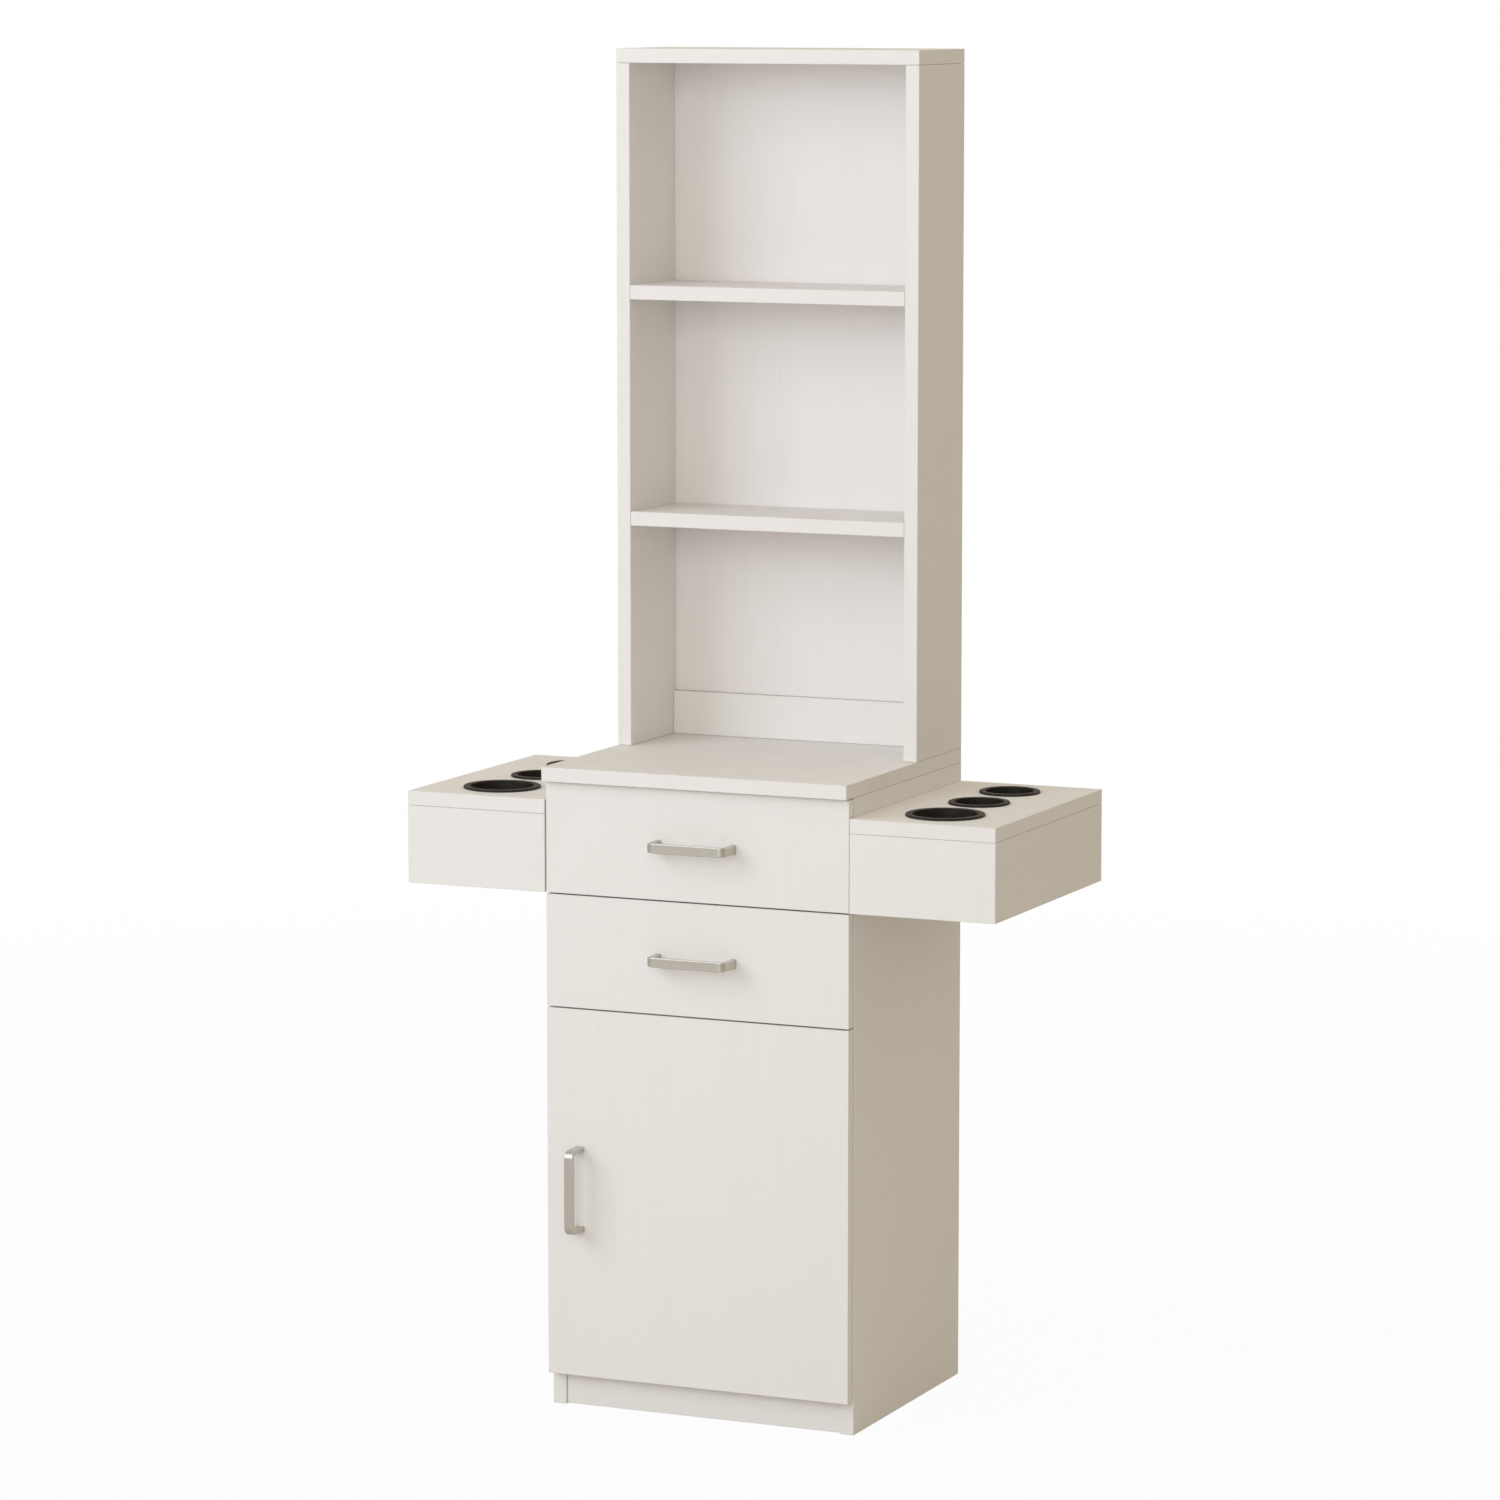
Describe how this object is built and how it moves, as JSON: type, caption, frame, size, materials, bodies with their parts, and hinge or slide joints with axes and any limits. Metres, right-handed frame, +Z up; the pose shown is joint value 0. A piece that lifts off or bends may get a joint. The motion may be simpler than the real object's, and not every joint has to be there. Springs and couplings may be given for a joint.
{
  "type": "salon styling station",
  "caption": "Narrow salon styling station: base cabinet with door and drawers, open shelf unit above the worktop, and a tool-holder box with drop-in cups on each side.",
  "frame": {"origin": "middle of the whole outline on the floor, drawer handles included", "axes": "+Z up; +X to the viewer's right when facing the front; the front with its door and drawers faces -Y"},
  "size_m": [0.7946, 0.3982, 1.7],
  "materials": {
    "laminate": "warm off-white wood-grain laminate board, satin",
    "drawer_board": "plain white melamine board",
    "thin_panel": "thin panel with an off-white face",
    "nickel": "satin nickel",
    "cup_plastic": "black moulded plastic, satin",
    "runner_steel": "white powder coat",
    "hinge_steel": "nickel plate"
  },
  "bodies": {
    "carcass": {"base_side_left": "laminate", "base_side_right": "laminate", "plinth": "laminate", "bottom_panel": "laminate", "divider_panel": "laminate", "top_rail": "laminate", "base_back_panel": "thin_panel", "cupboard_shelf": "laminate", "worktop": "laminate", "unit_side_left": "laminate", "unit_side_right": "laminate", "unit_top": "laminate", "shelf_lower": "laminate", "shelf_upper": "laminate", "unit_back_panel": "thin_panel", "unit_back_rail": "laminate", "wing_left_top": "laminate", "wing_left_front": "laminate", "wing_left_outer_side": "laminate", "wing_left_inner_side": "laminate", "wing_left_back": "laminate", "wing_left_bottom": "laminate", "wing_right_top": "laminate", "wing_right_front": "laminate", "wing_right_outer_side": "laminate", "wing_right_inner_side": "laminate", "wing_right_back": "laminate", "wing_right_bottom": "laminate", "runner_upper_left_cabinet": "runner_steel", "runner_upper_right_cabinet": "runner_steel", "runner_lower_left_cabinet": "runner_steel", "runner_lower_right_cabinet": "runner_steel", "hinge_lower_arm": "hinge_steel", "hinge_upper_arm": "hinge_steel"},
    "drawer_upper": {"drawer_upper_front": "laminate", "drawer_upper_side_left": "drawer_board", "drawer_upper_side_right": "drawer_board", "drawer_upper_back": "drawer_board", "drawer_upper_bottom": "thin_panel", "drawer_upper_handle": "nickel", "runner_upper_left_drawer": "runner_steel", "runner_upper_right_drawer": "runner_steel"},
    "drawer_lower": {"drawer_lower_front": "laminate", "drawer_lower_side_left": "drawer_board", "drawer_lower_side_right": "drawer_board", "drawer_lower_back": "drawer_board", "drawer_lower_bottom": "thin_panel", "drawer_lower_handle": "nickel", "runner_lower_left_drawer": "runner_steel", "runner_lower_right_drawer": "runner_steel"},
    "door": {"door_panel": "laminate", "door_handle": "nickel", "hinge_lower_cup": "hinge_steel", "hinge_upper_cup": "hinge_steel"},
    "cup_large_left": {"cup_large_left": "cup_plastic"},
    "cup_large_right": {"cup_large_right": "cup_plastic"},
    "cup_middle_left": {"cup_middle_left": "cup_plastic"},
    "cup_middle_right": {"cup_middle_right": "cup_plastic"},
    "cup_rear_left": {"cup_rear_left": "cup_plastic"},
    "cup_rear_right": {"cup_rear_right": "cup_plastic"}
  },
  "joints": [
    {"name": "drawer_upper_slide", "type": "slide", "parent": "carcass", "child": "drawer_upper", "axis": [0, -1, 0], "range_m": [0, 0.22]},
    {"name": "drawer_lower_slide", "type": "slide", "parent": "carcass", "child": "drawer_lower", "axis": [0, -1, 0], "range_m": [0, 0.22]},
    {"name": "door_hinge", "type": "hinge", "parent": "carcass", "child": "door", "pos_m": [0.205, -0.1651, 0.277], "axis": [0, 0, 1], "range_deg": [0, 100]},
    {"name": "cup_large_left_lift", "type": "slide", "parent": "carcass", "child": "cup_large_left", "axis": [0, 0, 1], "range_m": [0, 0.1]},
    {"name": "cup_large_right_lift", "type": "slide", "parent": "carcass", "child": "cup_large_right", "axis": [0, 0, 1], "range_m": [0, 0.1]},
    {"name": "cup_middle_left_lift", "type": "slide", "parent": "carcass", "child": "cup_middle_left", "axis": [0, 0, 1], "range_m": [0, 0.1]},
    {"name": "cup_middle_right_lift", "type": "slide", "parent": "carcass", "child": "cup_middle_right", "axis": [0, 0, 1], "range_m": [0, 0.1]},
    {"name": "cup_rear_left_lift", "type": "slide", "parent": "carcass", "child": "cup_rear_left", "axis": [0, 0, 1], "range_m": [0, 0.1]},
    {"name": "cup_rear_right_lift", "type": "slide", "parent": "carcass", "child": "cup_rear_right", "axis": [0, 0, 1], "range_m": [0, 0.1]}
  ]
}
